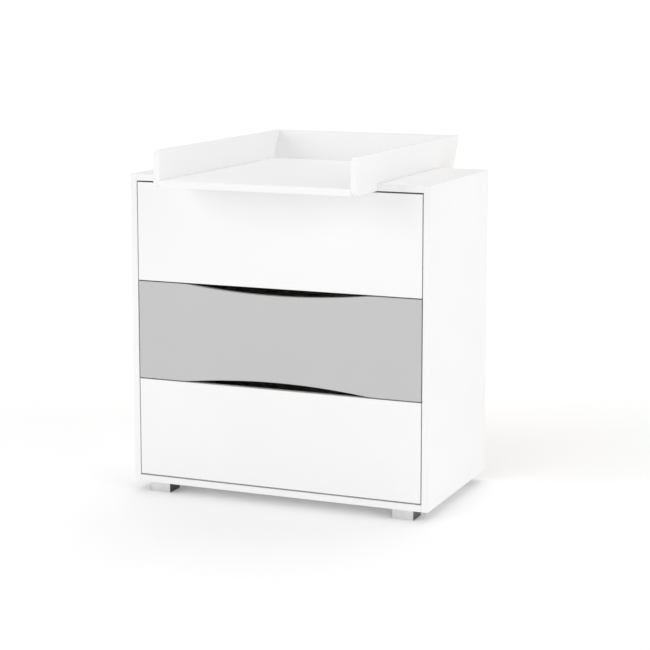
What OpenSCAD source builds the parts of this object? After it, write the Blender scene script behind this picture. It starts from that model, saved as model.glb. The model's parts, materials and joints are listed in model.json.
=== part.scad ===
// Changing table: a three-drawer chest of lacquered board with a changing tray on top.
// Millimetres. X runs to the right, Y from the front to the back and Z up.
// The origin is on the floor, under the middle of the whole outline.

/* [Chest] */
// Width of the chest over its side panels
chest_w = 857; // [780:1:1000]
// Depth of the chest from its front edges to the outside of the back panel
chest_d = 480; // [460:1:560]
// Height of the chest body without its feet
chest_h = 850; // [800:1:950]
// Thickness of the boards of the chest, the drawer fronts and the tray
board_t = 18; // [18:1:22]
// Thickness of the fibreboard of the back panel and the drawer bases
fibre_t = 3; // [2.5:0.5:4]
// How far the back panel stays inside the outer edges of the chest
back_margin = 3; // [1:0.5:5]

/* [Feet] */
// Height of a foot
foot_h = 28; // [20:1:60]
// Side of the square foot
foot_size = 60; // [50:1:64]
// Distance from the outer side of the chest to a foot
foot_side_inset = 43; // [40:1:50]
// Distance from the front or back of the chest to a foot
foot_end_inset = 10; // [5:1:15]
// Radius of a foot's upright edges
foot_edge_r = 2; // [1:0.5:6]

/* [Drawer fronts] */
// Gap between a drawer front and a side panel
side_gap = 3; // [2:0.5:4]
// Gap above the top front and below the bottom front
end_gap = 4; // [3:0.5:6]
// Gap between two drawer fronts
front_gap = 3; // [2:0.5:5]
// Depth of the finger wave in the middle front
wave_depth = 17; // [8:1:20]
// Half the width of the finger wave
wave_half_w = 290; // [200:1:340]
// Share of the half width that the wave's concave middle takes
wave_share = 0.83; // [0.6:0.01:0.9]

/* [Drawer boxes] */
// Thickness of the boards of a drawer box
box_t = 16; // [15:1:18]
// Height of a drawer's sides
box_h = 180; // [160:1:190]
// Length of a drawer's sides behind the front
box_d = 440; // [430:1:450]
// Height of a drawer's sides above the lower edge of the front
box_lift = 30; // [25:1:35]
// Height of the drawer base above the lower edge of the sides
base_lift = 12; // [10:1:16]
// Depth of the groove that holds the drawer base
groove_depth = 7; // [5:1:8]

/* [Runners] */
// Length of a runner member
runner_len = 400; // [380:5:410]
// Space between a drawer box and a side panel, which the runner fills
runner_t = 13; // [12.7:0.1:13.5]
// Height of the cabinet member of a runner
runner_h = 45; // [42:1:46]
// Thickness of the runner steel
steel_t = 1.2; // [1:0.1:1.3]
// Height of the runner's centre above the lower edge of the drawer sides
runner_lift = 95; // [85:1:110]

/* [Tray] */
// Width of the tray over its side walls
tray_w = 570; // [520:1:700]
// How far the tray stands out in front of the chest
tray_front = 140; // [100:1:160]
// How far the top of the tray's back wall stands out behind the chest
tray_rear = 168; // [140:1:180]
// Height of the tray walls above the top of the chest
tray_wall_h = 79; // [60:1:110]
// Lean of the tray's back wall from upright, in degrees
tray_lean = 28; // [10:1:32]
// Radius of the front corners of the tray's side walls
tray_corner_r = 18; // [8:1:18]

/* [Fasteners] */
// Diameter of a wooden dowel
dowel_d = 8; // [6:1:10]
// Length of a wooden dowel
dowel_len = 30; // [26:1:34]
// Diameter of a cam lock
cam_d = 15; // [14:1:16]
// Height of a cam lock
cam_h = 12.5; // [11:0.5:13]
// Distance from a joint to the centre of its cam lock
cam_reach = 34; // [30:1:36]
// Diameter of the shank of a wood screw
screw_d = 4; // [3.5:0.5:5]
// Diameter of the head of a wood screw
screw_head_d = 8; // [7:0.5:9]

/* [Hidden] */
$fn = 32;

// Colours
white = [0.94, 0.94, 0.94];
grey = [0.74, 0.74, 0.74];
carcass_inside = [0.88, 0.88, 0.87];
foot_metal = [0.72, 0.73, 0.74];
zinc = [0.62, 0.64, 0.66];
beech = [0.80, 0.66, 0.46];

// Clearances and small lengths
past = 1;               // how far a cut runs past a face
loose = 0.05;           // radial clearance of a fastener in its bore
dowel_share = 0.4;      // share of a dowel's length on the -X side of its joint
grip = 10;              // length of a cam bolt's thread in a board
bolt_d = 6;
bolt_thread_d = 5;
bolt_neck_d = 4;
bolt_neck_len = 3;
bolt_head_len = 2;
bolt_bore_d = 8;
bolt_slot_d = 7;
bolt_slot_room = 1;     // space past a cam bolt's head inside its lock
screw_head_h = 3;
foot_screw_recess = 1;  // height of a foot screw's head above the floor

// Outline: the tray is the deepest part and the origin lies under its middle
tray_len = tray_front + chest_d + tray_rear;
tray_front_y = -tray_len / 2;
front_y = tray_front_y + tray_front;
rear_y = front_y + chest_d;
panel_d = chest_d - fibre_t;
chest_z = foot_h;
top_z = chest_z + chest_h;
top_panel_z = top_z - board_t;
inner_w = chest_w - 2 * board_t;
inner_x = inner_w / 2;
wall_top_z = top_z + tray_wall_h;

// Rows of fasteners along the depth of the chest, measured from its front
dowel_rows = [40, 437];
cam_rows = [90, 387];
tray_screw_rows = [60, 420];

// Back panel screws
back_screw_d = 3;
back_screw_head_d = 6;
back_screw_head_h = 1.5;
back_screw_len = 18;
back_side_screws = 5;
back_end_screws = 5;

// Drawer fronts, numbered from the bottom
front_w = inner_w - 2 * side_gap;
drawers = 3;
front_h = (chest_h - 2 * board_t - 2 * end_gap - (drawers - 1) * front_gap) / drawers;
front_back_y = front_y + board_t;
wave_steps = 48;
wave_inner = wave_share * wave_half_w;

// Drawer boxes
box_x = inner_x - runner_t;
box_inner_x = box_x - box_t;
box_rear_y = front_back_y + box_d;
groove_play = 0.2;
groove_t = fibre_t + groove_play;
base_clear = 0.5;
front_bolt_heights = [45, 145];
back_bolt_heights = [55, 140];

// Runners: thickness positions are measured from the side panel towards the drawer
runner_setback = 2;
runner_y = front_back_y + runner_setback;
runner_clear = 0.2;
pan_head_h = 1.2;
pan_head_d = 7;
pan_screw_d = 3.5;
pan_screw_len = 12;
outer_depth = 9.5;
middle_x = steel_t + pan_head_h + runner_clear;
middle_depth = 8.4;
outer_track_h = 5;      // step from the cabinet member to the middle one, above and below
inner_track_h = 4.5;    // step from the middle member to the drawer's one
middle_h = runner_h - 2 * outer_track_h;
inner_depth = 7.8;
inner_h = middle_h - 2 * inner_track_h;
outer_screw_rows = [37, 200, 363];
inner_screw_rows = [60, 220, 380];

// Feet
foot_screw_offset = 15;
foot_screw_depth = 13;
foot_x = chest_w / 2 - foot_side_inset - foot_size / 2;
foot_front_y = front_y + foot_end_inset + foot_size / 2;
foot_rear_y = rear_y - foot_end_inset - foot_size / 2;

// Tray: its floor is the top of the chest, carried on by a shelf in front and one behind
wall_x = tray_w / 2;
wall_inner_x = wall_x - board_t;
shelf_w = 2 * wall_inner_x;
back_wall_run = board_t / cos(tray_lean);
back_foot_y = tray_len / 2 - tray_wall_h * tan(tray_lean) - back_wall_run;
shelf_rear_end_y = back_foot_y + back_wall_run - board_t * tan(tray_lean);
tray_screw_len = 40;
shelf_dowel_margin = 35;
back_dowel_heights = [20, 58];

// ---------------------------------------------------------------- helpers

// Repeats its children mirrored to the other side of the chest
module both_sides() {
    children();
    mirror([1, 0, 0]) children();
}

// A round bar along +X
module bar_x(d, len) {
    rotate([0, 90, 0]) cylinder(d = d, h = len);
}

// A flat outline in X and Z, carried along +Y
module along_y(len) {
    translate([0, len, 0]) rotate([90, 0, 0]) linear_extrude(len) children();
}

// A flat outline in Y and Z, carried along +X
module along_x(len) {
    rotate([90, 0, 90]) linear_extrude(len) children();
}

// A dowel across the joint plane X = 0, the shorter end on the -X side
module dowel(clear = 0) {
    start = -dowel_share * dowel_len - clear;
    translate([start, 0, 0]) bar_x(dowel_d + clear, dowel_len + 2 * clear);
}

// A cam bolt whose thread grips the board on the -X side of the joint plane
module cam_bolt() {
    shank = cam_reach - bolt_neck_len;
    translate([-grip, 0, 0]) bar_x(bolt_thread_d, grip);
    bar_x(bolt_d, shank);
    translate([shank, 0, 0]) bar_x(bolt_neck_d, bolt_neck_len);
    translate([cam_reach, 0, 0]) bar_x(bolt_d, bolt_head_len);
}

// A cam lock that stands on Z = 0 and takes a bolt from -X at the given height
module cam_lock(bolt_height) {
    slot = cam_d / 2 + bolt_head_len + bolt_slot_room;
    socket = cam_h / 4;
    difference() {
        cylinder(d = cam_d - 2 * loose, h = cam_h);
        translate([-cam_d / 2 - past, 0, bolt_height]) bar_x(bolt_slot_d, slot + past);
        translate([0, 0, -past]) cylinder(d = bolt_neck_d, h = socket + past);
    }
}

// The cuts for a cam joint: the bolt's bore in the board's end and the lock's pocket
module cam_cut(bolt_height) {
    translate([-past, 0, bolt_height]) bar_x(bolt_bore_d, cam_reach + past);
    translate([cam_reach, 0, -past]) cylinder(d = cam_d, h = cam_h + loose + past);
}

// The bore for the thread of a cam bolt, on the -X side of the joint plane
module bolt_thread_cut() {
    translate([-grip - loose, 0, 0]) bar_x(bolt_thread_d + 2 * loose, grip + loose + past);
}

// A countersunk wood screw that points up, with its head's face at Z = 0
module wood_screw(len) {
    cylinder(d = screw_head_d, h = screw_head_h);
    cylinder(d = screw_d, h = len);
}

// The bore for such a screw
module wood_screw_cut(len) {
    translate([0, 0, -past]) cylinder(d = screw_head_d + 2 * loose, h = screw_head_h + loose + past);
    cylinder(d = screw_d + 2 * loose, h = len + loose);
}

// A pan-head screw along -X whose head sits on the +X side of X = 0
module pan_screw() {
    bar_x(pan_head_d, pan_head_h);
    translate([-pan_screw_len, 0, 0]) bar_x(pan_screw_d, pan_screw_len);
}

// The bore for such a screw
module pan_screw_cut() {
    translate([-pan_screw_len - loose, 0, 0]) bar_x(pan_screw_d + 2 * loose, pan_screw_len + past);
}

// The section of a runner member in X and Z: a web with a lip at each end
module channel(depth, height) {
    translate([0, -height / 2]) square([steel_t, height]);
    for (z = [-height / 2, height / 2 - steel_t]) {
        translate([0, z]) square([depth, steel_t]);
    }
}

// Lower edge of drawer front number i
function front_z(i) = chest_z + board_t + end_gap + i * (front_h + front_gap);

// Lower edge and runner height of drawer box number i
function box_z(i) = front_z(i) + box_lift;
function runner_z(i) = box_z(i) + runner_lift;

// Depth of the finger wave at distance x from its middle: concave, then eased into the edge
function wave(x) =
    let (a = abs(x), ease = wave_half_w - wave_inner)
    a < wave_inner ? wave_depth * (1 - a * a / (wave_inner * wave_half_w))
    : wave_depth * pow(wave_half_w - a, 2) / (wave_half_w * ease);

// Points of the wave's edge from left to right, at height z, bending by the given sign
function wave_points(z, sign) = [
    for (k = [0:wave_steps])
        let (x = wave_half_w * (2 * k / wave_steps - 1))
        [x, z + sign * wave(x)]
];

// ---------------------------------------------------------------- chest

// Left side panel, with blind bores for the panels' fasteners and the runners' screws
module side_panel() {
    difference() {
        translate([-chest_w / 2, front_y, chest_z]) cube([board_t, panel_d, chest_h]);
        for (z = [chest_z, top_panel_z]) {
            translate([-inner_x, front_y, z + board_t / 2]) {
                for (y = cam_rows) translate([0, y, 0]) bolt_thread_cut();
                for (y = dowel_rows) translate([0, y, 0]) dowel(2 * loose);
            }
        }
        for (i = [0:drawers - 1], y = outer_screw_rows) {
            translate([-inner_x + steel_t, runner_y + y, runner_z(i)]) pan_screw_cut();
        }
        back_panel_screw_cuts();
    }
}

module side_panel_left() {
    color(white) side_panel();
}

module side_panel_right() {
    color(white) mirror([1, 0, 0]) side_panel();
}

// A board between the side panels, joined to each by dowels and cam locks
module cross_panel(z) {
    difference() {
        translate([-inner_x, front_y, z]) cube([inner_w, panel_d, board_t]);
        both_sides() translate([-inner_x, front_y, z]) {
            for (y = cam_rows) translate([0, y, 0]) cam_cut(board_t / 2);
            for (y = dowel_rows) translate([0, y, board_t / 2]) dowel(2 * loose);
        }
        back_panel_screw_cuts();
    }
}

module top_panel() {
    color(white) difference() {
        cross_panel(top_panel_z);
        each_tray_screw() wood_screw_cut(tray_screw_len);
    }
}

module bottom_panel() {
    color(white) difference() {
        cross_panel(chest_z);
        each_foot_screw() wood_screw_cut(foot_h + foot_screw_depth);
    }
}

// Places its children at each back panel screw, pointing forwards from the panel's face
module each_back_screw() {
    margin = 2 * board_t;
    side_span = chest_h - 2 * margin;
    end_span = inner_w - 2 * margin;
    for (k = [0:back_side_screws - 1], side = [-1, 1]) {
        x = side * (inner_x + board_t / 2);
        z = chest_z + margin + side_span * k / (back_side_screws - 1);
        translate([x, rear_y, z]) rotate([90, 0, 0]) children();
    }
    for (k = [0:back_end_screws - 1], z = [chest_z, top_panel_z]) {
        x = end_span * (k / (back_end_screws - 1) - 0.5);
        translate([x, rear_y, z + board_t / 2]) rotate([90, 0, 0]) children();
    }
}

module back_panel_screw_cuts() {
    each_back_screw() {
        translate([0, 0, -past]) {
            cylinder(d = back_screw_head_d + 2 * loose, h = back_screw_head_h + loose + past);
            cylinder(d = back_screw_d + 2 * loose, h = back_screw_len + loose + past);
        }
    }
}

module back_panel() {
    width = chest_w - 2 * back_margin;
    height = chest_h - 2 * back_margin;
    color(white) difference() {
        translate([-width / 2, rear_y - fibre_t, chest_z + back_margin]) {
            cube([width, fibre_t, height]);
        }
        back_panel_screw_cuts();
    }
}

module back_panel_screws() {
    color(zinc) each_back_screw() {
        cylinder(d = back_screw_head_d, h = back_screw_head_h);
        cylinder(d = back_screw_d, h = back_screw_len);
    }
}

module panel_dowels() {
    color(beech) both_sides() for (z = [chest_z, top_panel_z], y = dowel_rows) {
        translate([-inner_x, front_y + y, z + board_t / 2]) dowel();
    }
}

module panel_cam_bolts() {
    color(zinc) both_sides() for (z = [chest_z, top_panel_z], y = cam_rows) {
        translate([-inner_x, front_y + y, z + board_t / 2]) cam_bolt();
    }
}

module panel_cam_locks() {
    color(zinc) both_sides() for (z = [chest_z, top_panel_z], y = cam_rows) {
        translate([-inner_x + cam_reach, front_y + y, z]) cam_lock(board_t / 2);
    }
}

// ---------------------------------------------------------------- feet

// Places its children at each foot screw, pointing up from the floor
module each_foot_screw() {
    for (x = [-foot_x, foot_x], y = [foot_front_y, foot_rear_y], k = [-1, 1]) {
        translate([x + k * foot_screw_offset, y + k * foot_screw_offset, foot_screw_recess]) children();
    }
}

// A square block with rounded upright edges
module foot(x, y) {
    half = foot_size / 2 - foot_edge_r;
    color(foot_metal) difference() {
        translate([x, y, 0]) linear_extrude(foot_h) {
            square([foot_size, 2 * half], center = true);
            square([2 * half, foot_size], center = true);
            for (i = [-half, half], j = [-half, half]) translate([i, j]) circle(foot_edge_r);
        }
        each_foot_screw() wood_screw_cut(foot_h + foot_screw_depth);
    }
}

module foot_front_left() {
    foot(-foot_x, foot_front_y);
}

module foot_front_right() {
    foot(foot_x, foot_front_y);
}

module foot_rear_left() {
    foot(-foot_x, foot_rear_y);
}

module foot_rear_right() {
    foot(foot_x, foot_rear_y);
}

module foot_screws() {
    color(zinc) each_foot_screw() wood_screw(foot_h + foot_screw_depth);
}

// ---------------------------------------------------------------- runners

// The pair of cabinet members for drawer i, screwed to the side panels
module runner_outer(i) {
    color(zinc) both_sides() translate([-inner_x, runner_y, runner_z(i)]) difference() {
        along_y(runner_len) channel(outer_depth, runner_h);
        for (y = outer_screw_rows) translate([steel_t, y, 0]) pan_screw_cut();
    }
}

// The pair of middle members, which slide out half as far as the drawer
module runner_middle(i) {
    color(zinc) both_sides() translate([-inner_x + middle_x, runner_y, runner_z(i)]) {
        along_y(runner_len) channel(middle_depth, middle_h);
    }
}

// The pair of drawer members, screwed to the drawer's sides
module runner_inner(i) {
    color(zinc) both_sides() translate([-box_x, runner_y, runner_z(i)]) difference() {
        mirror([1, 0, 0]) along_y(runner_len) channel(inner_depth, inner_h);
        for (y = inner_screw_rows) {
            translate([-steel_t, y, 0]) mirror([1, 0, 0]) pan_screw_cut();
        }
    }
}

module runner_inner_screws(i) {
    color(zinc) both_sides() for (y = inner_screw_rows) {
        translate([-box_x - steel_t, runner_y + y, runner_z(i)]) mirror([1, 0, 0]) pan_screw();
    }
}

module runner_outer_screws() {
    color(zinc) both_sides() for (i = [0:drawers - 1], y = outer_screw_rows) {
        translate([-inner_x + steel_t, runner_y + y, runner_z(i)]) pan_screw();
    }
}

// ---------------------------------------------------------------- drawers

// The cuts that every drawer front carries on its back: the base's groove and bolt bores
module front_cuts(i) {
    translate([-box_inner_x - groove_depth, front_back_y - groove_depth, box_z(i) + base_lift]) {
        cube([2 * (box_inner_x + groove_depth), groove_depth + past, groove_t]);
    }
    both_sides() for (z = front_bolt_heights) {
        translate([-box_x + box_t / 2, front_back_y, box_z(i) + z]) {
            rotate([0, 0, 90]) bolt_thread_cut();
        }
    }
}

// A plain drawer front
module plain_front(i) {
    color(white) difference() {
        translate([-front_w / 2, front_y, front_z(i)]) cube([front_w, board_t, front_h]);
        front_cuts(i);
    }
}

// The middle drawer front, with a finger wave in its upper and its lower edge
module waved_front(i) {
    low = front_z(i);
    high = low + front_h;
    left = [[-front_w / 2, high], [-front_w / 2, low]];
    right = [[front_w / 2, low], [front_w / 2, high]];
    top_edge = wave_points(high, -1);
    top_back = [for (k = [wave_steps:-1:0]) top_edge[k]];
    color(grey) difference() {
        translate([0, front_y, 0]) along_y(board_t) {
            polygon(concat(left, wave_points(low, 1), right, top_back));
        }
        front_cuts(i);
    }
}

// The left side of drawer box i
module box_side(i) {
    color(carcass_inside) difference() {
        translate([-box_x, front_back_y, box_z(i)]) cube([box_t, box_d, box_h]);
        translate([-box_inner_x - groove_depth, front_back_y - past, box_z(i) + base_lift]) {
            cube([groove_depth + past, box_d + 2 * past, groove_t]);
        }
        for (z = front_bolt_heights) {
            translate([-box_inner_x, front_back_y, box_z(i) + z]) {
                rotate([-90, 0, 90]) cam_cut(box_t / 2);
            }
        }
        for (z = back_bolt_heights) {
            translate([-box_inner_x, box_rear_y - box_t / 2, box_z(i) + z]) bolt_thread_cut();
        }
        for (y = inner_screw_rows) {
            translate([-box_x - steel_t, runner_y + y, runner_z(i)]) {
                mirror([1, 0, 0]) pan_screw_cut();
            }
        }
    }
}

// The back of drawer box i, which stands on the base between the sides
module box_back(i) {
    back_z = box_z(i) + base_lift + groove_t;
    color(carcass_inside) difference() {
        translate([-box_inner_x, box_rear_y - box_t, back_z]) {
            cube([2 * box_inner_x, box_t, box_h - base_lift - groove_t]);
        }
        both_sides() for (z = back_bolt_heights) {
            translate([-box_inner_x, box_rear_y, box_z(i) + z]) {
                rotate([90, 0, 0]) cam_cut(box_t / 2);
            }
        }
    }
}

// The base of drawer box i, held in the grooves of the front and the sides
module box_base(i) {
    half_w = box_inner_x + groove_depth - base_clear;
    start_y = front_back_y - groove_depth + base_clear;
    color(white) translate([-half_w, start_y, box_z(i) + base_lift + groove_play / 2]) {
        cube([2 * half_w, box_rear_y - start_y, fibre_t]);
    }
}

module box_cam_bolts(i) {
    color(zinc) both_sides() {
        for (z = front_bolt_heights) {
            translate([-box_x + box_t / 2, front_back_y, box_z(i) + z]) {
                rotate([0, 0, 90]) cam_bolt();
            }
        }
        for (z = back_bolt_heights) {
            translate([-box_inner_x, box_rear_y - box_t / 2, box_z(i) + z]) cam_bolt();
        }
    }
}

module box_cam_locks(i) {
    color(zinc) both_sides() {
        for (z = front_bolt_heights) {
            translate([-box_inner_x, front_back_y + cam_reach, box_z(i) + z]) {
                rotate([-90, 0, 90]) cam_lock(box_t / 2);
            }
        }
        for (z = back_bolt_heights) {
            translate([-box_inner_x + cam_reach, box_rear_y, box_z(i) + z]) {
                rotate([90, 0, 0]) cam_lock(box_t / 2);
            }
        }
    }
}

// ---------------------------------------------------------------- tray

// Rounds off a convex corner at the origin of an outline that fills +Y and -Z of it
module corner_cut(r) {
    difference() {
        translate([-past, -r]) square([r + past, r + past]);
        translate([r, -r]) circle(r);
    }
}

// Outline of a side wall in Y and Z: it sits on the chest and drops in front and behind
module wall_outline() {
    low = top_panel_z;
    difference() {
        polygon([
            [tray_front_y, low],
            [front_y, low],
            [front_y, top_z],
            [rear_y, top_z],
            [rear_y, low],
            [shelf_rear_end_y, low],
            [tray_len / 2, wall_top_z],
            [tray_front_y, wall_top_z]
        ]);
        translate([tray_front_y, wall_top_z]) corner_cut(tray_corner_r);
        translate([tray_front_y, low]) mirror([0, 1]) corner_cut(tray_corner_r);
    }
}

// The left side wall, with bores for its dowels and screws
module side_wall() {
    color(white) difference() {
        translate([-wall_x, 0, 0]) along_x(board_t) wall_outline();
        left_tray_dowels(2 * loose);
        each_tray_screw() wood_screw_cut(tray_screw_len);
    }
}

module tray_wall_left() {
    side_wall();
}

module tray_wall_right() {
    mirror([1, 0, 0]) side_wall();
}

// The leaning board at the back of the tray, which stands on the rear shelf
module tray_wall_back() {
    color(white) difference() {
        translate([-wall_inner_x, 0, 0]) along_x(shelf_w) polygon([
            [back_foot_y, top_z],
            [back_foot_y + back_wall_run, top_z],
            [tray_len / 2, wall_top_z],
            [tray_len / 2 - back_wall_run, wall_top_z]
        ]);
        both_sides() left_tray_dowels(2 * loose);
    }
}

// A shelf that carries the tray's floor on past the chest
module tray_shelf(start_y, end_y) {
    color(white) difference() {
        translate([-wall_inner_x, start_y, top_panel_z]) cube([shelf_w, end_y - start_y, board_t]);
        both_sides() left_tray_dowels(2 * loose);
    }
}

module tray_shelf_front() {
    tray_shelf(tray_front_y, front_y);
}

module tray_shelf_rear() {
    tray_shelf(rear_y, shelf_rear_end_y);
}

// The dowels that join the shelves and the back wall to the left side wall
module left_tray_dowels(clear = 0) {
    shelf_rows = [
        tray_front_y + shelf_dowel_margin,
        front_y - shelf_dowel_margin,
        rear_y + shelf_dowel_margin,
        shelf_rear_end_y - shelf_dowel_margin
    ];
    for (y = shelf_rows) translate([-wall_inner_x, y, top_z - board_t / 2]) dowel(clear);
    for (z = back_dowel_heights) {
        y = back_foot_y + back_wall_run / 2 + z * tan(tray_lean);
        translate([-wall_inner_x, y, top_z + z]) dowel(clear);
    }
}

module tray_dowels() {
    color(beech) both_sides() left_tray_dowels();
}

// Places its children at each screw that holds the tray, pointing up from inside the chest
module each_tray_screw() {
    for (x = [-1, 1], y = tray_screw_rows) {
        translate([x * (wall_x - board_t / 2), front_y + y, top_panel_z]) children();
    }
}

module tray_screws() {
    color(zinc) each_tray_screw() wood_screw(tray_screw_len);
}

// ---------------------------------------------------------------- nodes

side_panel_left();
side_panel_right();
top_panel();
bottom_panel();
back_panel();
foot_front_left();
foot_front_right();
foot_rear_left();
foot_rear_right();
foot_screws();
panel_dowels();
panel_cam_bolts();
panel_cam_locks();
back_panel_screws();
runner_outer(2);  // runner_outer_top
runner_outer(1);  // runner_outer_middle
runner_outer(0);  // runner_outer_bottom
runner_outer_screws();
tray_wall_left();
tray_wall_right();
tray_wall_back();
tray_shelf_front();
tray_shelf_rear();
tray_dowels();
tray_screws();

plain_front(2);  // drawer_top_front
box_side(2);  // drawer_top_side_left
mirror([1, 0, 0]) box_side(2);  // drawer_top_side_right
box_back(2);  // drawer_top_back
box_base(2);  // drawer_top_base
box_cam_bolts(2);  // drawer_top_cam_bolts
box_cam_locks(2);  // drawer_top_cam_locks
runner_inner(2);  // drawer_top_runner_inner
runner_inner_screws(2);  // drawer_top_runner_screws
runner_middle(2);  // runner_middle_top

waved_front(1);  // drawer_middle_front
box_side(1);  // drawer_middle_side_left
mirror([1, 0, 0]) box_side(1);  // drawer_middle_side_right
box_back(1);  // drawer_middle_back
box_base(1);  // drawer_middle_base
box_cam_bolts(1);  // drawer_middle_cam_bolts
box_cam_locks(1);  // drawer_middle_cam_locks
runner_inner(1);  // drawer_middle_runner_inner
runner_inner_screws(1);  // drawer_middle_runner_screws
runner_middle(1);  // runner_middle_middle

plain_front(0);  // drawer_bottom_front
box_side(0);  // drawer_bottom_side_left
mirror([1, 0, 0]) box_side(0);  // drawer_bottom_side_right
box_back(0);  // drawer_bottom_back
box_base(0);  // drawer_bottom_base
box_cam_bolts(0);  // drawer_bottom_cam_bolts
box_cam_locks(0);  // drawer_bottom_cam_locks
runner_inner(0);  // drawer_bottom_runner_inner
runner_inner_screws(0);  // drawer_bottom_runner_screws
runner_middle(0);  // runner_middle_bottom
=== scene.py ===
"""The changing table as it looks: boards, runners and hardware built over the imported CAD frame.

Metres, in the row frame: X to the right, Y from the front to the back, Z up, origin on the floor.
Sizes come from the frame's own nodes, so a board stays the size that the CAD gave it.
"""
import json
import math

import bmesh
import bpy
from mathutils import Matrix, Vector


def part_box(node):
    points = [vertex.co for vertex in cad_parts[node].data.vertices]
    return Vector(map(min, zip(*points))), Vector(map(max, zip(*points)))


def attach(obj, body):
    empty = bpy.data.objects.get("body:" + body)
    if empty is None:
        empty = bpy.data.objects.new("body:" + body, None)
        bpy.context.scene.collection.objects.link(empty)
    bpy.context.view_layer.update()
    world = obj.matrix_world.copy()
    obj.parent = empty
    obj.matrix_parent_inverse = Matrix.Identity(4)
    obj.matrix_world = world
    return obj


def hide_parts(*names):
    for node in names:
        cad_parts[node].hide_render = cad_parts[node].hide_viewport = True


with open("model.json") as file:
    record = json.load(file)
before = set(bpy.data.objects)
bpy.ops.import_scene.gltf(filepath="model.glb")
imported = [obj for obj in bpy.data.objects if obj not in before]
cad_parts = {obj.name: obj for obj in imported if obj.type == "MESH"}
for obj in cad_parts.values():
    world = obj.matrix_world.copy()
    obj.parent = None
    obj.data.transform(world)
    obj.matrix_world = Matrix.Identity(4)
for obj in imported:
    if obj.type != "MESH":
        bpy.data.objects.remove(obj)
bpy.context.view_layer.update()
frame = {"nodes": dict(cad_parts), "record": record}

RECORD = frame["record"]
LEVELS = ("top", "middle", "bottom")
SIDES = ("left", "right")
MM = 0.001
DOWN = (0, 0, -1)
REARWARD = (0, 1, 0)

# Camera: its place in metres, its turn to the left and its look down in degrees, its lens in mm
CAMERA_PLACE = (1.992, -4.680, 1.370)
CAMERA_TURN = 22.704
CAMERA_DOWN = 8.551
CAMERA_LENS = 103.4086
CAMERA_SENSOR = 36.0
CAMERA_SHIFT_Y = -0.085
CAMERA_REACH = 2000.0

# Lights: turn from the front and height in degrees, strength, width in degrees.
# A positive turn comes from the right.
LIGHTS = {"key": (-42, 19, 0.68, 35), "fill": (75, 25, 0.63, 50), "rear_top": (180, 65, 0.715, 50)}
WORLD_STRENGTH = 0.65

# Floor: so wide that its end lies on the horizon, with a little glow as a lit backdrop has
FLOOR_SIDE = 1200.0
FLOOR_GLOW = 0.1
FLOOR_DULL = (0.925, 0.925, 0.925)
FLOOR_PALE = (0.935, 0.935, 0.935)

# Rounded edges and corners
BOARD_EDGE = 0.9 * MM
BOX_EDGE = 0.6 * MM
THIN_EDGE = 0.3 * MM
FOOT_EDGE = 0.6 * MM
FOOT_CORNER = 2 * MM
TRAY_CORNER = 18 * MM
SHARP_ANGLE = math.radians(35)
ARC_STEPS = 12
ROUND_STEPS = 32

# Points nearer than this are one point. Places in metres are rounded to as many decimals.
SAME_PLACE = 0.01 * MM
SAME_DECIMALS = 5

# An edge whose direction lies this much along an axis runs along it
NEARLY = 0.9

# Holes, each as diameter and depth, and the room round a drawer's base in its groove
CAM_POCKET = (15.2 * MM, 12.6 * MM)
TRAY_COUNTERBORE = (8.2 * MM, 3.2 * MM)
FOOT_COUNTERBORE = (8.2 * MM, 4.2 * MM)
BACK_COUNTERBORE = (6.3 * MM, 1.6 * MM)
GROOVE_ROOM = 0.1 * MM

# Cam locks: the rim's sink and width, the dish inside it, the edges, the cross and the pointer
CAM_SINK = 0.25 * MM
CAM_RIM = 0.9 * MM
CAM_DISH = 0.6 * MM
CAM_FOOT_EDGE = 0.4 * MM
CAM_RIM_EDGE = 0.3 * MM
CAM_CROSS_REACH = 3.6 * MM
CAM_CROSS_WIDTH = 1.5 * MM
CAM_CROSS_DEPTH = 3.5 * MM
CAM_POINTER_LENGTH = 1.6 * MM
CAM_POINTER_WIDTH = 2.2 * MM
CAM_POINTER_GAP = 0.5 * MM
CAM_POINTER_SINK = 0.1 * MM

# Screws, each as head width, head height and shank width
RUNNER_SCREW = (7 * MM, 1.2 * MM, 3.5 * MM)
BACK_SCREW = (6 * MM, 1.5 * MM, 3 * MM)
FRAME_SCREW = (8 * MM, 3 * MM, 4 * MM)
SCREW_EDGE = 0.25 * MM
# A domed head's points: distance from the axis and depth, as shares of head radius and height
DOME = ((0.55, 0.08), (0.85, 0.35))
# The cross recess: reach and width as shares of the head's radius, depth as a share of its height
SCREW_CROSS = (0.52, 0.24, 0.75)
# How wide a cross recess is at its floor, as a share of its mouth
CROSS_TAPER = 0.55
# The point's length in shank radii
TIP_LENGTH = 3

# Runner members: sheet, holes and slots, and where those lie as shares of a member's length
SHEET = 1.2 * MM
SHEET_BEND = 2.6 * MM
BEND_STEPS = 6
WEB_HOLE = (5 * MM, 5 * MM)
WEB_SLOT = (6 * MM, 18 * MM, 4.8 * MM)
WEB_SLOT_CORNER = 2.3 * MM
HOLES_AT = {"inner": (0.15, 0.55, 0.95), "middle": (0.06, 0.94), "outer": (0.0925, 0.5, 0.9075)}
SLOTS_AT = {"inner": (0.35, 0.75), "middle": (0.3, 0.6), "outer": (0.2, 0.35, 0.65, 0.8)}

# How squarely a face looks along a direction: where its finish, or the feet's painted shade, begins
# and where it is full
FACING = (0.6, 0.8)


# ---------------------------------------------------------------- frame

def body_name(node):
    """The body that carries a CAD node."""
    for name, nodes in RECORD["behaviour"]["bodies"].items():
        if node in nodes:
            return name
    raise KeyError(node)


def slot_name(node):
    """The record's material slot of a CAD node."""
    for part in RECORD["subparts"]:
        if part["node"] == node:
            return part["material_slot"]
    raise KeyError(node)


def box(node):
    """The lowest and the highest corner of a CAD node."""
    low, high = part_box(node)
    return Vector(low), Vector(high)


def centre(solid):
    """The middle of a solid that is given by its two corners."""
    return (solid[0] + solid[1]) / 2


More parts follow.
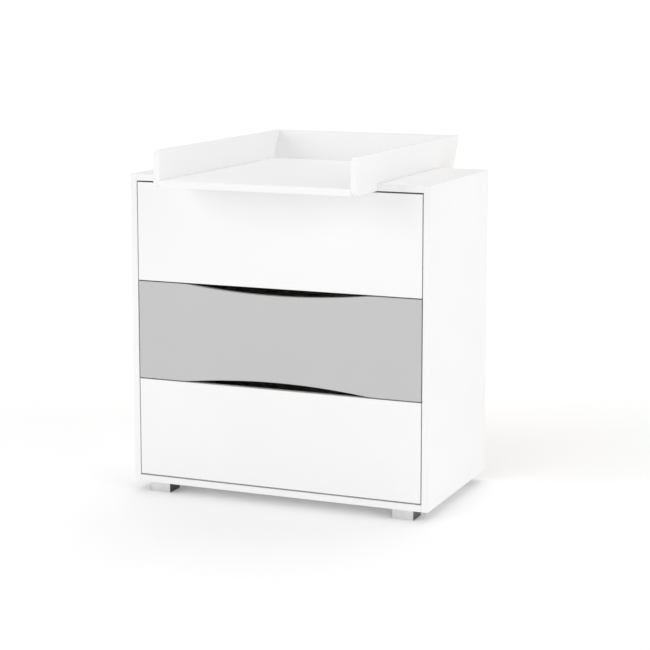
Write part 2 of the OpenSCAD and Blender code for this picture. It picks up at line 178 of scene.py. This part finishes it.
def joined_points(start, seen):
    """The points that edges join to a first vertex. They are added to the ones seen."""
    seen.add(start)
    stack = [start]
    points = []
    while stack:
        vert = stack.pop()
        points.append(vert.co.copy())
        for edge in vert.link_edges:
            other = edge.other_vert(vert)
            if other not in seen:
                seen.add(other)
                stack.append(other)
    return points


def solids(node):
    """The box of each separate solid of a CAD node, as (lowest corner, highest corner)."""
    mesh = bmesh.new()
    mesh.from_mesh(frame["nodes"][node].data)
    bmesh.ops.remove_doubles(mesh, verts=mesh.verts, dist=SAME_PLACE)
    seen = set()
    boxes = []
    for start in mesh.verts:
        if start in seen:
            continue
        points = joined_points(start, seen)
        low = Vector([min(p[i] for p in points) for i in range(3)])
        high = Vector([max(p[i] for p in points) for i in range(3)])
        boxes.append((low, high))
    mesh.free()
    return sorted(boxes, key=lambda corners: tuple(corners[0]))


def solids_over(node, low, high):
    """The solids of a CAD node whose middle lies within a box, as seen from above."""
    return [s for s in solids(node)
            if low.x < centre(s).x < high.x and low.y < centre(s).y < high.y]


# ---------------------------------------------------------------- mesh tools

def share_along(edge, axis):
    """How much an edge's direction lies along X, Y or Z: 1 is fully, 0 is at right angles."""
    direction = (edge.verts[0].co - edge.verts[1].co).normalized()
    return abs(direction["XYZ".index(axis)])


def runs_along(axis):
    """A test for edges that run along X, Y or Z."""
    return lambda edge: share_along(edge, axis) > NEARLY


def runs_across(axis):
    """A test for edges at right angles to X, Y or Z."""
    return lambda edge: share_along(edge, axis) < 1 - NEARLY


def round_sharp_edges(mesh, radius, steps=3, chosen=None):
    """Rounds the edges whose faces meet at more than the sharp angle, or those of them chosen."""
    edges = [e for e in mesh.edges
             if len(e.link_faces) == 2 and e.calc_face_angle(0) > SHARP_ANGLE
             and (chosen is None or chosen(e))]
    bmesh.ops.bevel(mesh, geom=edges, offset=radius, segments=steps, profile=0.5,
                    affect="EDGES", clamp_overlap=True)


def block(low, high):
    """A plain box between two corners, before its edges are worked."""
    mesh = bmesh.new()
    bmesh.ops.create_cube(mesh, size=1)
    bmesh.ops.scale(mesh, vec=Vector(high) - Vector(low), verts=mesh.verts)
    bmesh.ops.translate(mesh, vec=(Vector(high) + Vector(low)) / 2, verts=mesh.verts)
    return mesh


def board(low, high, radius=BOARD_EDGE, steps=3):
    """A board between two corners, with its edges eased."""
    mesh = block(low, high)
    round_sharp_edges(mesh, radius, steps)
    return mesh


def loft(first, last):
    """A closed solid between two outlines that have the same number of points."""
    mesh = bmesh.new()
    start = [mesh.verts.new(p) for p in first]
    end = [mesh.verts.new(p) for p in last]
    mesh.faces.new(start)
    mesh.faces.new(end)
    for i in range(len(start)):
        j = (i + 1) % len(start)
        mesh.faces.new((start[i], start[j], end[j], end[i]))
    bmesh.ops.recalc_face_normals(mesh, faces=mesh.faces)
    return mesh


def prism(outline, direction, start, end):
    """A flat outline carried along X or Y. Its points are the other two coordinates."""
    def at(point, along):
        if direction == "X":
            return (along, point[0], point[1])
        return (point[0], along, point[1])

    return loft([at(p, start) for p in outline], [at(p, end) for p in outline])


def lathe(profile, steps=ROUND_STEPS):
    """Turns a profile of (radius, height) points about Z. Both ends lie on the axis."""
    mesh = bmesh.new()
    turns = [2 * math.pi * k / steps for k in range(steps)]
    rings = []
    for radius, height in profile:
        if radius == 0:
            rings.append([mesh.verts.new((0, 0, height))])
            continue
        rings.append([mesh.verts.new((radius * math.cos(t), radius * math.sin(t), height))
                      for t in turns])
    for low, high in zip(rings, rings[1:]):
        for k in range(steps):
            n = (k + 1) % steps
            if len(low) == 1:
                mesh.faces.new((low[0], high[n], high[k]))
            elif len(high) == 1:
                mesh.faces.new((low[k], low[n], high[0]))
            else:
                mesh.faces.new((low[k], low[n], high[n], high[k]))
    bmesh.ops.recalc_face_normals(mesh, faces=mesh.faces)
    return mesh


def cross_bit(reach, width, depth, top):
    """A tapered cross that points down from a height, as a screwdriver bit is."""
    w = width / 2
    plan = [(w, w), (w, reach), (-w, reach), (-w, w), (-reach, w), (-reach, -w),
            (-w, -w), (-w, -reach), (w, -reach), (w, -w), (reach, -w), (reach, w)]
    return loft([(x, y, top) for x, y in plan],
                [(x * CROSS_TAPER, y * CROSS_TAPER, top - depth) for x, y in plan])


def placed(mesh, matrix):
    """A copy of a mesh, moved by a matrix."""
    other = mesh.copy()
    bmesh.ops.transform(other, matrix=matrix, verts=other.verts)
    return other


def joined(meshes):
    """One mesh from several. It frees the ones given."""
    whole = bmesh.new()
    for mesh in meshes:
        data = bpy.data.meshes.new("part")
        mesh.to_mesh(data)
        mesh.free()
        whole.from_mesh(data)
        bpy.data.meshes.remove(data)
    return whole


def mesh_object(name, mesh):
    """An object in the scene that holds a mesh. It frees the mesh given."""
    data = bpy.data.meshes.new(name)
    mesh.to_mesh(data)
    mesh.free()
    obj = bpy.data.objects.new(name, data)
    bpy.context.scene.collection.objects.link(obj)
    return obj


def cut(mesh, cutters):
    """The mesh less all the cutters. It frees the meshes given."""
    target = mesh_object("target", mesh)
    tool = mesh_object("tool", joined(cutters))
    boolean = target.modifiers.new("cut", "BOOLEAN")
    boolean.operation = "DIFFERENCE"
    boolean.solver = "EXACT"
    boolean.object = tool
    graph = bpy.context.evaluated_depsgraph_get()
    result = bmesh.new()
    result.from_mesh(target.evaluated_get(graph).to_mesh())
    for obj in (target, tool):
        data = obj.data
        bpy.data.objects.remove(obj)
        bpy.data.meshes.remove(data)
    return result


def frame_at(point, direction):
    """The matrix that puts a thing's origin at a point and turns its +Z along a direction."""
    turn = Vector(direction).to_track_quat("Z", "Y").to_matrix().to_4x4()
    return Matrix.Translation(point) @ turn


def drill(point, direction, diameter, depth, past=0.5 * MM):
    """A drill's shape: it enters at a point and goes the given depth against the direction."""
    radius = diameter / 2
    bit = lathe([(0, -depth), (radius, -depth), (radius, past), (0, past)])
    return placed(bit, frame_at(point, direction))


def drill_from_below(solid, surface, diameter, depth):
    """A drill's shape that enters a surface from below, in line with a solid's middle."""
    middle = centre(solid)
    return drill(Vector((middle.x, middle.y, surface)), DOWN, diameter, depth)


def show(node, mesh, material, ending):
    """Stands a mesh in for a CAD node: same body, the material given, with clean shading."""
    obj = mesh_object(f"{node}_{ending}", mesh)
    for face in obj.data.polygons:
        face.use_smooth = True
    obj.data.set_sharp_from_angle(angle=SHARP_ANGLE)
    obj.data.materials.append(material)
    normals = obj.modifiers.new("normals", "WEIGHTED_NORMAL")
    normals.keep_sharp = True
    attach(obj, body_name(node))
    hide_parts(node)


# ---------------------------------------------------------------- material tools

class Finish:
    """A short way to write a material's node tree."""

    def __init__(self, name, **values):
        self.material = bpy.data.materials.new(name)
        self.material.use_nodes = True
        self.tree = self.material.node_tree
        self.shader = self.tree.nodes["Principled BSDF"]
        self.coordinates = self.add("ShaderNodeTexCoord")
        self.place = self.coordinates.outputs["Object"]
        for key, value in values.items():
            self.shader.inputs[key.replace("_", " ")].default_value = value

    def add(self, kind, **values):
        node = self.tree.nodes.new(kind)
        for key, value in values.items():
            setattr(node, key, value)
        return node

    def link(self, source, target):
        self.tree.links.new(source, target)

    def stretched(self, scale):
        """Object coordinates scaled by a different number on each axis."""
        node = self.add("ShaderNodeMapping")
        node.inputs["Scale"].default_value = scale
        self.link(self.place, node.inputs["Vector"])
        return node.outputs["Vector"]

    def noise(self, scale=1.0, detail=3.0, roughness=0.5, vector=None):
        node = self.add("ShaderNodeTexNoise")
        node.inputs["Scale"].default_value = scale
        node.inputs["Detail"].default_value = detail
        node.inputs["Roughness"].default_value = roughness
        self.link(vector or self.place, node.inputs["Vector"])
        return node.outputs["Fac"]

    def spread(self, value, low=0.0, high=1.0, start=0.3, end=0.7):
        """A value between start and end becomes a number between low and high."""
        node = self.add("ShaderNodeMapRange")
        node.inputs["From Min"].default_value = start
        node.inputs["From Max"].default_value = end
        node.inputs["To Min"].default_value = low
        node.inputs["To Max"].default_value = high
        self.link(value, node.inputs["Value"])
        return node.outputs["Result"]

    def blend(self, factor, first, second):
        """Mixes two colours, each given as RGB numbers or as a socket."""
        node = self.add("ShaderNodeMix", data_type="RGBA")
        ends = [s for s in node.inputs if s.type == "RGBA"]
        for socket, colour in zip(ends, (first, second)):
            if isinstance(colour, tuple):
                socket.default_value = (*colour, 1)
            else:
                self.link(colour, socket)
        self.link(factor, node.inputs["Factor"])
        return [s for s in node.outputs if s.type == "RGBA"][0]

    def clouded(self, cloud, colour, darker):
        """The colour, which sinks to a darker shade of itself where the cloud is thin."""
        self.colour(self.blend(self.spread(cloud), tint(colour, darker), colour))

    def colour(self, socket):
        self.link(socket, self.shader.inputs["Base Color"])

    def roughness(self, socket):
        self.link(socket, self.shader.inputs["Roughness"])

    def bump(self, height, strength, distance):
        node = self.add("ShaderNodeBump")
        node.inputs["Strength"].default_value = strength
        node.inputs["Distance"].default_value = distance
        self.link(height, node.inputs["Height"])
        self.link(node.outputs["Normal"], self.shader.inputs["Normal"])


def tint(colour, factor):
    """A colour made darker or lighter by a factor."""
    return tuple(min(1.0, c * factor) for c in colour)


# ---------------------------------------------------------------- materials

def lacquer(name, colour, sheen=0.42):
    """Sprayed lacquer on board: a soft sheen, faint orange peel, a slightly cloudy tone."""
    m = Finish(name, Specular_IOR_Level=0.4)
    m.clouded(m.noise(scale=3.2, detail=4, roughness=0.55), colour, darker=0.984)
    wiped = m.noise(detail=5, roughness=0.6, vector=m.stretched((5, 5, 19)))
    m.roughness(m.spread(wiped, sheen - 0.05, sheen + 0.06))
    peel = m.noise(scale=520, detail=2, roughness=0.4)
    m.bump(peel, strength=0.1, distance=0.05 * MM)
    return m.material


def melamine(name, colour):
    """Melamine-faced board: a fine pearl grain, duller than lacquer."""
    m = Finish(name, Specular_IOR_Level=0.35)
    m.clouded(m.noise(scale=6), colour, darker=0.975)
    pearl = m.noise(scale=900, detail=2, roughness=0.6)
    m.roughness(m.spread(pearl, 0.46, 0.6))
    m.bump(pearl, strength=0.22, distance=0.06 * MM)
    return m.material


def hardboard(name, face, raw, face_direction):
    """Fibreboard: one side faced white, the other side and the edges raw brown fibre."""
    m = Finish(name, Specular_IOR_Level=0.25)
    fibre = m.noise(detail=6, roughness=0.7, vector=m.stretched((420, 420, 260)))
    mottle = m.noise(scale=9, detail=5, roughness=0.65)
    dark_fibre = tint(raw, 0.72)
    pale_fibre = tint(raw, 1.12)
    stain = tint(raw, 0.8)
    brown = m.blend(m.spread(fibre), dark_fibre, pale_fibre)
    brown = m.blend(m.spread(mottle, high=0.35), brown, stain)
    split = m.add("ShaderNodeVectorMath", operation="DOT_PRODUCT")
    split.inputs[1].default_value = face_direction
    m.link(m.coordinates.outputs["Normal"], split.inputs[0])
    faced = m.spread(split.outputs["Value"], 0, 1, *FACING)
    m.colour(m.blend(faced, brown, face))
    m.roughness(m.spread(fibre, 0.6, 0.85))
    m.bump(fibre, strength=0.18, distance=0.08 * MM)
    return m.material


def metal(name, colour, rough, grain, plating=30):
    """Worked metal: fine lines along the grain and cloudy plating."""
    m = Finish(name, Metallic=1.0)
    m.clouded(m.noise(scale=plating, detail=4, roughness=0.6), colour, darker=0.84)
    lines = m.noise(roughness=0.6, vector=m.stretched(grain))
    m.roughness(m.spread(lines, rough - 0.07, rough + 0.1))
    m.bump(lines, strength=0.12, distance=0.03 * MM)
    return m.material


def profile_with_shade_painted_ends(name, colour, painted_shade_colour):
    """Brushed aluminium profile along X. Its two ends carry painted shade: near-black and not
    metallic, where the metal would only be dark from the shade it reflects.
    """
    m = Finish(name)
    facing = m.add("ShaderNodeVectorMath", operation="ABSOLUTE")
    m.link(m.coordinates.outputs["Normal"], facing.inputs[0])
    along = m.add("ShaderNodeSeparateXYZ")
    m.link(facing.outputs["Vector"], along.inputs["Vector"])
    # The ends along X get painted shade in place of metal
    on_shaded_end = m.spread(along.outputs["X"], 0, 1, *FACING)
    cloud = m.noise(scale=30, detail=4, roughness=0.6)
    bright = m.blend(m.spread(cloud), tint(colour, 0.88), colour)
    m.colour(m.blend(on_shaded_end, bright, painted_shade_colour))
    m.link(m.spread(on_shaded_end, low=1, high=0, start=0, end=1), m.shader.inputs["Metallic"])
    lines = m.noise(roughness=0.6, vector=m.stretched((14, 900, 900)))
    m.roughness(m.spread(lines, 0.1, 0.3))
    m.bump(lines, strength=0.12, distance=0.03 * MM)
    return m.material


def cast_metal(name, colour):
    """Die-cast zinc: a fine pebbled skin, cloudy in tone."""
    m = Finish(name, Metallic=1.0)
    skin = m.noise(scale=1800, roughness=0.6)
    m.clouded(m.noise(scale=220, roughness=0.6), colour, darker=0.75)
    m.roughness(m.spread(skin, 0.34, 0.55))
    m.bump(skin, strength=0.3, distance=0.05 * MM)
    return m.material


def turned_beech(name):
    """Plain beech dowel with short dark flecks along its length."""
    m = Finish(name, Roughness=0.68)
    grain = m.noise(detail=4, roughness=0.6, vector=m.stretched((45, 800, 800)))
    fleck = m.noise(detail=2, vector=m.stretched((260, 1900, 1900)))
    wood = m.blend(m.spread(grain), BEECH_DARK, BEECH_PALE)
    m.colour(m.blend(m.spread(fleck, high=0.5, start=0.62, end=0.75), wood, BEECH_FLECK))
    m.bump(grain, strength=0.3, distance=0.1 * MM)
    return m.material


WHITE = (0.92, 0.92, 0.92)
GREY = (0.55, 0.55, 0.552)
BOX_WHITE = (0.84, 0.84, 0.83)
RAW_BROWN = (0.36, 0.22, 0.12)
BEECH_DARK = (0.52, 0.33, 0.18)
BEECH_PALE = (0.74, 0.55, 0.34)
BEECH_FLECK = (0.36, 0.21, 0.11)
STEEL = (0.62, 0.64, 0.66)
ALUMINIUM = (0.77, 0.77, 0.775)
# Painted shade for the feet's ends, which are dark only from shade, not from their material
SHADE_PAINTED_BLACK = (0.035, 0.035, 0.037)
ZINC = (0.66, 0.67, 0.68)
CAST_ZINC = (0.58, 0.585, 0.59)

LACQUERS = {"white_board": lacquer("white_lacquer", WHITE),
            "grey_board": lacquer("grey_lacquer", GREY)}
BOX_MELAMINE = melamine("drawer_melamine", BOX_WHITE)
BACK_FIBRE = hardboard("back_fibreboard", BOX_WHITE, RAW_BROWN, face_direction=(0, -1, 0))
BASE_FIBRE = hardboard("base_fibreboard", BOX_WHITE, RAW_BROWN, face_direction=(0, 0, 1))
RUNNER_STEEL = metal("runner_steel", STEEL, rough=0.3, grain=(700, 5, 700))
# The feet: brushed aluminium, with painted shade on their ends
FOOT_METAL = profile_with_shade_painted_ends("foot_aluminium", ALUMINIUM, SHADE_PAINTED_BLACK)
SCREW_ZINC = metal("screw_zinc", ZINC, rough=0.3, grain=(900, 900, 900), plating=90)
CAM_ALLOY = cast_metal("cam_alloy", CAST_ZINC)
BEECH = turned_beech("beech")


# ---------------------------------------------------------------- hardware

def inward(point):
    """The direction along X from a point to the chest's middle."""
    return (-1 if point.x > 0 else 1, 0, 0)


def outward(point):
    """The direction along X from the chest's middle to a point."""
    return (1 if point.x > 0 else -1, 0, 0)


def cam_body(radius, depth):
    """A cam lock without its pointer, its shown end at Z = 0: rim, dish and cross recess."""
    dish_radius = radius - CAM_RIM
    dish_floor = -CAM_SINK - CAM_DISH
    body = lathe([
        (0, -depth), (radius - CAM_FOOT_EDGE, -depth), (radius, CAM_FOOT_EDGE - depth),
        (radius, -CAM_SINK - CAM_RIM_EDGE), (radius - CAM_RIM_EDGE, -CAM_SINK),
        (dish_radius, -CAM_SINK), (dish_radius - CAM_RIM_EDGE, dish_floor), (0, dish_floor)
    ])
    return cut(body, [cross_bit(CAM_CROSS_REACH, CAM_CROSS_WIDTH, CAM_CROSS_DEPTH, 0)])


def cam_pointer(radius):
    """The raised triangle in a cam lock's dish that shows how far it is turned."""
    tip = radius - CAM_RIM - CAM_POINTER_GAP
    base = tip - CAM_POINTER_LENGTH
    side = CAM_POINTER_WIDTH / 2
    top = -CAM_SINK - CAM_POINTER_SINK
    plan = [(base, -side), (tip, 0), (base, side)]
    return loft([(x, y, top) for x, y in plan], [(x, y, top - CAM_DISH) for x, y in plan])


def cam_lock(lock, face):
    """A cam lock in the place of a CAD solid, with its shown end towards the face direction."""
    size = lock[1] - lock[0]
    direction = Vector(face)
    depth = abs(size.dot(direction))
    radius = max(size) / 2
    whole = joined([cam_body(radius, depth), cam_pointer(radius)])
    return placed(whole, frame_at(centre(lock) + direction * depth / 2, direction))


def screw(head_width, head_height, shank_width, length, domed):
    """A screw whose head ends at Z = 0 and whose shank points down, with a cross recess."""
    head = head_width / 2
    shank = shank_width / 2
    if domed:
        crown = [(0, 0)] + [(across * head, -down * head_height) for across, down in DOME]
        crown += [(head, -head_height + SCREW_EDGE), (head - SCREW_EDGE, -head_height)]
    else:
        crown = [(0, 0), (head - SCREW_EDGE, 0), (head, -SCREW_EDGE), (head, -2 * SCREW_EDGE),
                 (shank, -head_height)]
    below = [(shank, -head_height - SCREW_EDGE), (shank, TIP_LENGTH * shank - length), (0, -length)]
    reach, width, depth = SCREW_CROSS
    cross = cross_bit(reach * head, width * head, depth * head_height, SAME_PLACE)
    return cut(lathe(crown + below), [cross])


def screws(node, size, direction_of, domed=False):
    """All the screws of a CAD node, each turned so that its head looks along a direction."""
    pieces = []
    for solid in solids(node):
        middle = centre(solid)
        direction = Vector(direction_of(middle))
        length = abs((solid[1] - solid[0]).dot(direction))
        model = screw(*size, length, domed)
        pieces.append(placed(model, frame_at(middle + direction * length / 2, direction)))
        model.free()
    show(node, joined(pieces), SCREW_ZINC, "heads")


def channel_section(low, high, open_side):
    """The outline of a runner member in X and Z: a web, two rounded bends and two lips."""
    web_x = low.x if open_side > 0 else high.x
    lip_x = high.x if open_side > 0 else low.x
    bend_x = web_x + open_side * SHEET_BEND
    turns = [math.radians(90 * k / BEND_STEPS) for k in range(BEND_STEPS + 1)]

    def face(inset):
        """One face of the sheet, from the upper lip over the web to the lower lip."""
        radius = SHEET_BEND - inset
        upper = [(bend_x - open_side * radius * math.sin(t),
                  high.z - SHEET_BEND + radius * math.cos(t)) for t in turns]
        lower = [(bend_x - open_side * radius * math.cos(t),
                  low.z + SHEET_BEND - radius * math.sin(t)) for t in turns]
        return [(lip_x, high.z - inset)] + upper + lower + [(lip_x, low.z + inset)]

    return face(0) + face(SHEET)[::-1]


def web_slot(point):
    """A punch for a long slot with round ends, through a web."""
    half = Vector(WEB_SLOT) / 2
    slot = block(point - half, point + half)
    round_sharp_edges(slot, WEB_SLOT_CORNER, steps=4, chosen=runs_along("X"))
    return slot


def runner_member(low, high, open_side, kind):
    """A rounded channel along Y with holes and slots in its web."""
    channel = prism(channel_section(low, high, open_side), "Y", low.y, high.y)
    facing = Vector((-open_side, 0, 0))
    web = Vector((low.x if open_side > 0 else high.x, low.y, (low.z + high.z) / 2))

    def at(share):
        return web + facing * MM + Vector((0, share * (high.y - low.y), 0))

    holes = [drill(at(share), facing, *WEB_HOLE) for share in HOLES_AT[kind]]
    slots = [web_slot(at(share)) for share in SLOTS_AT[kind]]
    return cut(channel, holes + slots)


def runner_pair(node, kind):
    """The left and the right member of a CAD node. Only the inner ones open outward."""
    direction_of = outward if kind == "inner" else inward
    members = [runner_member(low, high, direction_of(low)[0], kind) for low, high in solids(node)]
    show(node, joined(members), RUNNER_STEEL, "channels")


# ---------------------------------------------------------------- chest

def plain_board(node, material, radius=BOARD_EDGE, cuts=(), ending="board"):
    """A board in the place of a CAD node, less its cuts."""
    mesh = board(*box(node), radius)
    if cuts:
        mesh = cut(mesh, cuts)
    show(node, mesh, material, ending)


def level_panel(node):
    """The top or the bottom of the chest, with its fasteners' holes in the underside."""
    low, high = box(node)
    locks = [lock for lock in solids("panel_cam_locks") if low.z - MM < lock[0].z < high.z]
    width = CAM_POCKET[0]
    cuts = [drill_from_below(lock, low.z, width, lock[1].z - low.z) for lock in locks]
    if node == "top_panel":
        cuts += [drill_from_below(s, low.z, *TRAY_COUNTERBORE) for s in solids("tray_screws")]
    plain_board(node, LACQUERS["white_board"], cuts=cuts)


def chest_boards():
    """The boards round the drawers, and the cam locks that hold them together."""
    for side in SIDES:
        plain_board(f"side_panel_{side}", LACQUERS["white_board"])
    for place in ("top", "bottom"):
        level_panel(f"{place}_panel")
    cams = [cam_lock(lock, DOWN) for lock in solids("panel_cam_locks")]
    show("panel_cam_locks", joined(cams), CAM_ALLOY, "cast")


def back_board():
    """The back panel, with a counterbore for each of its screws."""
    low, high = box("back_panel")
    cuts = []
    for solid in solids("back_panel_screws"):
        middle = centre(solid)
        cuts.append(drill(Vector((middle.x, high.y, middle.z)), REARWARD, *BACK_COUNTERBORE))
    sheet = board(low, high, THIN_EDGE, steps=2)
    show("back_panel", cut(sheet, cuts), BACK_FIBRE, "sheet")


def foot(node):
    """A square foot with round corners, an eased rim and counterbores for its screws."""
    low, high = box(node)
    mesh = block(low, high)
    round_sharp_edges(mesh, FOOT_CORNER, steps=4, chosen=runs_along("Z"))
    round_sharp_edges(mesh, FOOT_EDGE, steps=2, chosen=runs_across("Z"))
    own = solids_over("foot_screws", low, high)
    cuts = [drill_from_below(s, low.z, *FOOT_COUNTERBORE) for s in own]
    show(node, cut(mesh, cuts), FOOT_METAL, "block")


# ---------------------------------------------------------------- drawers

def wave_outline(node):
    """The waved front's outline, read from the edge of its CAD node's front face."""
    low, high = box(node)
    middle = (low.z + high.z) / 2
    top = {}
    bottom = {}
    for vert in frame["nodes"][node].data.vertices:
        if abs(vert.co.y - low.y) < SAME_PLACE:
            edge = top if vert.co.z > middle else bottom
            edge[round(vert.co.x, SAME_DECIMALS)] = vert.co.z
    upper = [(x, top[x]) for x in sorted(top, reverse=True)]
    lower = [(x, bottom[x]) for x in sorted(bottom)]
    return lower + upper


def base_groove(level, front, rear):
    """A cutter for the groove that holds a drawer's base, between two places along Y."""
    base_low, base_high = box(f"drawer_{level}_base")
    return block((base_low.x - MM, front, base_low.z - GROOVE_ROOM),
                 (base_high.x + MM, rear, base_high.z + GROOVE_ROOM))


def drawer_front(level):
    """A drawer's front with the groove for its base. The middle one's edges are waved."""
    node = f"drawer_{level}_front"
    low, high = box(node)
    if level == "middle":
        mesh = prism(wave_outline(node), "Y", low.y, high.y)
        round_sharp_edges(mesh, BOARD_EDGE)
    else:
        mesh = board(low, high)
    groove_end = box(f"drawer_{level}_base")[0].y - MM / 2
    mesh = cut(mesh, [base_groove(level, groove_end, high.y + MM)])
    show(node, mesh, LACQUERS[slot_name(node)], "board")


def drawer_side(level, side):
    """A side of a drawer box, with its groove and the cam pockets in its inner face."""
    node = f"drawer_{level}_side_{side}"
    low, high = box(node)
    direction = inward(low)
    inner_x = high.x if side == "left" else low.x
    cuts = [base_groove(level, low.y - MM, high.y + MM)]
    for lock in solids_over(f"drawer_{level}_cam_locks", low, high):
        middle = centre(lock)
        cuts.append(drill(Vector((inner_x, middle.y, middle.z)), direction, *CAM_POCKET))
    plain_board(node, BOX_MELAMINE, BOX_EDGE, cuts)


def drawer_back(level):
    """The back of a drawer box, with the cam pockets in its rear face."""
    node = f"drawer_{level}_back"
    low, high = box(node)
    cuts = []
    for lock in solids_over(f"drawer_{level}_cam_locks", low, high):
        middle = centre(lock)
        cuts.append(drill(Vector((middle.x, high.y, middle.z)), REARWARD, *CAM_POCKET))
    plain_board(node, BOX_MELAMINE, BOX_EDGE, cuts)


def drawer_locks(level):
    """A drawer's cam locks: those in its back look to the rear, those in its sides inward."""
    node = f"drawer_{level}_cam_locks"
    back_front = box(f"drawer_{level}_back")[0].y
    cams = []
    for lock in solids(node):
        middle = centre(lock)
        face = REARWARD if middle.y > back_front else inward(middle)
        cams.append(cam_lock(lock, face))
    show(node, joined(cams), CAM_ALLOY, "cast")


def drawer(level):
    """A whole drawer and the runner members that carry it."""
    drawer_front(level)
    for side in SIDES:
        drawer_side(level, side)
    drawer_back(level)
    plain_board(f"drawer_{level}_base", BASE_FIBRE, THIN_EDGE, ending="sheet")
    drawer_locks(level)
    screws(f"drawer_{level}_runner_screws", RUNNER_SCREW, outward, domed=True)
    runner_pair(f"drawer_{level}_runner_inner", "inner")
    runner_pair(f"runner_middle_{level}", "middle")
    runner_pair(f"runner_outer_{level}", "outer")


# ---------------------------------------------------------------- tray

def arc(centre_at, radius, start, end, steps=ARC_STEPS):
    """Points of an arc in a plane, from one angle to another in degrees."""
    turns = [math.radians(start + (end - start) * k / steps) for k in range(steps + 1)]
    return [(centre_at[0] + radius * math.cos(t), centre_at[1] + radius * math.sin(t))
            for t in turns]


def tray_wall(side):
    """A side wall of the tray: notched over the chest, round in front, leaning at the rear."""
    node = f"tray_wall_{side}"
    low, high = box(node)
    chest_top = box("top_panel")[1].z
    chest_front = box("side_panel_left")[0].y
    chest_rear = box("back_panel")[1].y
    shelf_end = box("tray_shelf_rear")[1].y
    corner_y = low.y + TRAY_CORNER
    outline = [(chest_front, low.z), (chest_front, chest_top), (chest_rear, chest_top),
               (chest_rear, low.z), (shelf_end, low.z), (high.y, high.z)]
    outline += arc((corner_y, high.z - TRAY_CORNER), TRAY_CORNER, 90, 180)
    outline += arc((corner_y, low.z + TRAY_CORNER), TRAY_CORNER, 180, 270)
    mesh = prism(outline, "X", low.x, high.x)
    round_sharp_edges(mesh, BOARD_EDGE)
    show(node, mesh, LACQUERS["white_board"], "board")


def tray_back():
    """The leaning back wall, as thick as the rear shelf, which it continues upwards."""
    node = "tray_wall_back"
    low, high = box(node)
    shelf_low, shelf_high = box("tray_shelf_rear")
    lean = math.atan((high.y - shelf_high.y) / (high.z - shelf_low.z))
    step = (shelf_high.z - shelf_low.z) / math.cos(lean)
    outline = [(low.y, low.z), (low.y + step, low.z), (high.y, high.z), (high.y - step, high.z)]
    mesh = prism(outline, "X", low.x, high.x)
    round_sharp_edges(mesh, BOX_EDGE)
    show(node, mesh, LACQUERS["white_board"], "board")


def tray():
    """The changing tray: three walls, and a shelf in front of the chest and behind it."""
    for side in SIDES:
        tray_wall(side)
    tray_back()
    for end in ("front", "rear"):
        plain_board(f"tray_shelf_{end}", LACQUERS["white_board"], BOX_EDGE)


# ---------------------------------------------------------------- CAD nodes

def paint_frame():
    """Materials for every CAD node, also for those that a finer piece stands in for."""
    finish = {"fibreboard": BACK_FIBRE, "drawer_board": BOX_MELAMINE, "foot_metal": FOOT_METAL,
              "runner_steel": RUNNER_STEEL, "fastener_zinc": SCREW_ZINC,
              "cam_alloy": CAM_ALLOY, "beech": BEECH, **LACQUERS}
    for part in RECORD["subparts"]:
        data = frame["nodes"][part["node"]].data
        data.materials.clear()
        data.materials.append(finish[part["material_slot"]])


# ---------------------------------------------------------------- stage

def make_camera():
    data = bpy.data.cameras.new("camera")
    data.sensor_width = CAMERA_SENSOR
    data.lens = CAMERA_LENS
    data.shift_y = CAMERA_SHIFT_Y
    data.clip_end = CAMERA_REACH
    camera = bpy.data.objects.new("camera", data)
    bpy.context.scene.collection.objects.link(camera)
    camera.location = CAMERA_PLACE
    camera.rotation_euler = (math.radians(90 - CAMERA_DOWN), 0, math.radians(CAMERA_TURN))
    bpy.context.scene.camera = camera


def soft_light(name, turn, height, strength, width):
    """A wide soft light from far away."""
    data = bpy.data.lights.new(name, "SUN")
    data.energy = strength
    data.angle = math.radians(width)
    light = bpy.data.objects.new(name, data)
    bpy.context.scene.collection.objects.link(light)
    a, e = math.radians(turn), math.radians(height)
    towards = Vector((math.sin(a) * math.cos(e), -math.cos(a) * math.cos(e), math.sin(e)))
    light.rotation_euler = (-towards).to_track_quat("-Z", "Y").to_euler()


def make_world():
    world = bpy.data.worlds.new("studio")
    world.use_nodes = True
    background = world.node_tree.nodes["Background"]
    background.inputs["Color"].default_value = (1, 1, 1, 1)
    background.inputs["Strength"].default_value = WORLD_STRENGTH
    bpy.context.scene.world = world


def make_floor():
    """A plain pale floor, centred under the chest."""
    half = FLOOR_SIDE / 2
    data = bpy.data.meshes.new("floor")
    corners = [(-half, -half, 0), (half, -half, 0), (half, half, 0), (-half, half, 0)]
    data.from_pydata(corners, [], [(0, 1, 2, 3)])
    floor = bpy.data.objects.new("floor", data)
    bpy.context.scene.collection.objects.link(floor)
    m = Finish("floor", Roughness=0.9, Specular_IOR_Level=0.1, Emission_Strength=FLOOR_GLOW,
               Emission_Color=(1, 1, 1, 1))
    m.colour(m.blend(m.spread(m.noise(scale=2)), FLOOR_DULL, FLOOR_PALE))
    data.materials.append(m.material)


# ---------------------------------------------------------------- everything

paint_frame()
chest_boards()
back_board()
for end in ("front", "rear"):
    for side in SIDES:
        foot(f"foot_{end}_{side}")
for level in LEVELS:
    drawer(level)
tray()
screws("runner_outer_screws", RUNNER_SCREW, inward, domed=True)
screws("back_panel_screws", BACK_SCREW, lambda point: REARWARD)
screws("foot_screws", FRAME_SCREW, lambda point: DOWN)
screws("tray_screws", FRAME_SCREW, lambda point: DOWN)

make_floor()
make_world()
for name, numbers in LIGHTS.items():
    soft_light(name, *numbers)
make_camera()
bpy.context.scene.view_settings.view_transform = "Standard"
